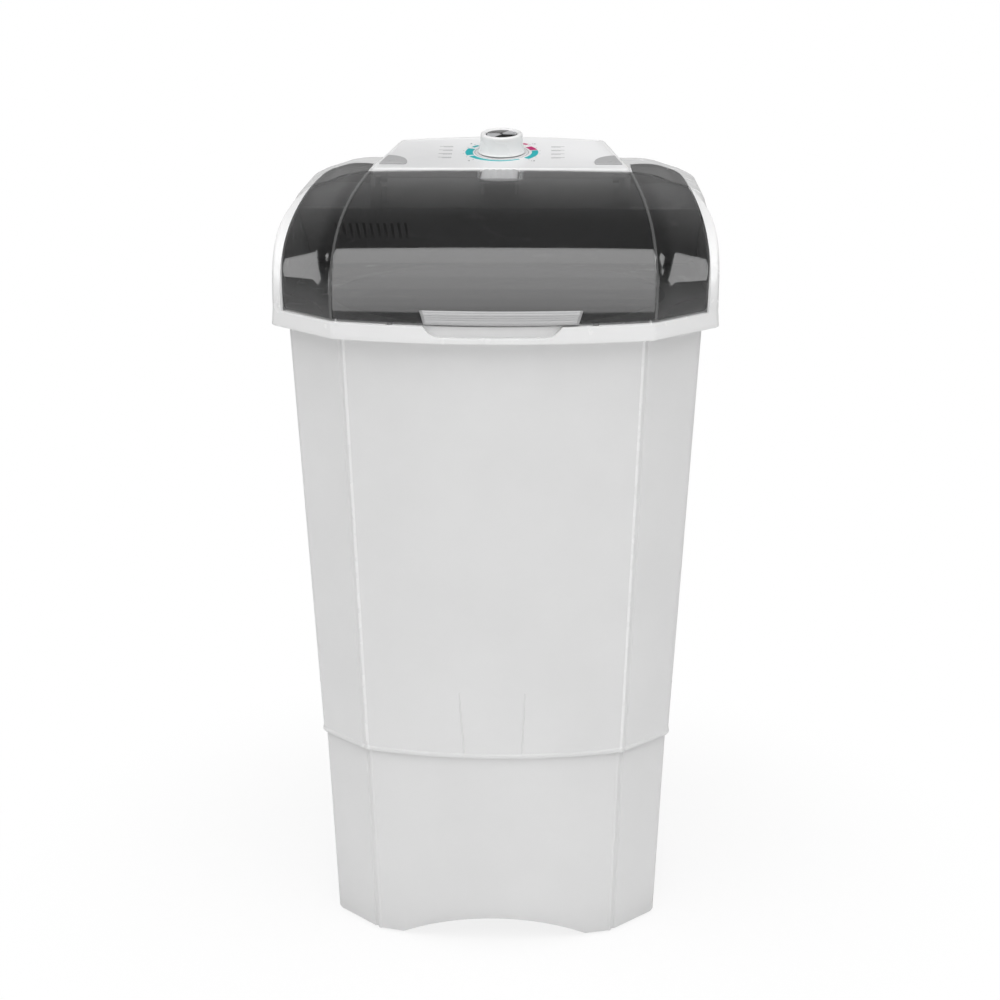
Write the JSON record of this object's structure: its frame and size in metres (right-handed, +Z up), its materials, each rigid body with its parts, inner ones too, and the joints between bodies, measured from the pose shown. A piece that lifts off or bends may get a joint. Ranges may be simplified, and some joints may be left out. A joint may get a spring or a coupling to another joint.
{
  "type": "washing machine",
  "caption": "Tapered octagonal tub washing machine with smoked lift-up lid, timer knob, agitator and V-belt drive.",
  "frame": {"origin": "on the floor under the middle of the bounding box", "axes": "+Z up, front with the lid handle towards -Y, +X to the right seen from the front"},
  "size_m": [0.54, 0.591, 0.9972],
  "materials": {
    "cabinet_white": "satin moulded plastic",
    "frame_white": "gloss moulded plastic",
    "tub_white": "gloss moulded plastic",
    "trim_grey": "satin grey plastic",
    "smoked_lid": "clear smoked plastic, polished",
    "knob_white": "gloss moulded plastic",
    "knob_chrome": "plated plastic",
    "dark_rubber": "matt rubber",
    "dark_plastic": "matt plastic",
    "zinc_steel": "zinc plated",
    "steel_shaft": "ground",
    "plate_paint": "grey paint",
    "motor_paint": "grey enamel",
    "cast_alloy": "die cast",
    "bronze": "sintered bronze",
    "timer_case": "matt plastic",
    "pipe_white": "soft plastic tube",
    "can_alloy": "drawn can"
  },
  "bodies": {
    "machine": {"base_skirt": "cabinet_white", "rubber_feet": "dark_rubber", "cabinet_shell": "cabinet_white", "wash_tub": "tub_white", "top_frame": "frame_white", "splash_chute": "tub_white", "frame_arm_left": "frame_white", "frame_arm_right": "frame_white", "rear_hood": "frame_white", "tub_deck": "frame_white", "control_panel": "cabinet_white", "panel_cap_left": "trim_grey", "panel_cap_right": "trim_grey", "inlet_spout": "trim_grey", "inlet_tube": "pipe_white", "inlet_nozzle": "trim_grey", "timer_bracket": "zinc_steel", "timer_body": "timer_case", "hinge_bracket_left": "dark_plastic", "hinge_bracket_right": "dark_plastic", "hinge_pins": "steel_shaft", "lid_buffers": "dark_rubber", "cable_gland": "dark_plastic", "wiring_loom": "dark_plastic", "drain_pipe": "trim_grey", "drain_grate": "trim_grey", "bearing_housing": "cast_alloy", "shaft_bushes": "bronze", "shaft_seal": "dark_rubber", "housing_bolts": "zinc_steel", "drive_plate": "plate_paint", "v_belt": "dark_rubber", "motor_housing": "motor_paint", "motor_bolts": "zinc_steel", "capacitor": "can_alloy", "capacitor_strap": "zinc_steel"},
    "lid": {"lid_shell": "smoked_lid", "lid_handle": "trim_grey"},
    "knob": {"timer_shaft": "zinc_steel", "timer_knob": "knob_white", "knob_insert": "knob_chrome"},
    "agitator": {"agitator_shaft": "steel_shaft", "agitator": "tub_white", "agitator_cap": "trim_grey", "driven_pulley": "cast_alloy", "pulley_clip": "zinc_steel"},
    "rotor": {"motor_shaft": "steel_shaft", "motor_pulley": "cast_alloy", "motor_fan": "knob_white"}
  },
  "joints": [
    {"name": "lid_hinge", "type": "hinge", "parent": "machine", "child": "lid", "pos_m": [0, 0.05, 0.94451], "axis": [-1, 0, 0], "range_deg": [0, 95]},
    {"name": "timer_turn", "type": "hinge", "parent": "machine", "child": "knob", "pos_m": [0, 0.1435, 0.96762], "axis": [0, -0.1495, 0.9888], "range_deg": [0, 300]},
    {"name": "agitator_spin", "type": "hinge", "parent": "machine", "child": "agitator", "pos_m": [0, 0.0035, 0.166], "axis": [0, 0, 1], "continuous": true},
    {"name": "motor_spin", "type": "hinge", "parent": "machine", "child": "rotor", "pos_m": [0.135, 0.0035, 0.166], "axis": [0, 0, 1], "continuous": true}
  ],
  "couplings": [
    {"joint": "motor_spin", "follows": "agitator_spin", "ratio": 4}
  ]
}
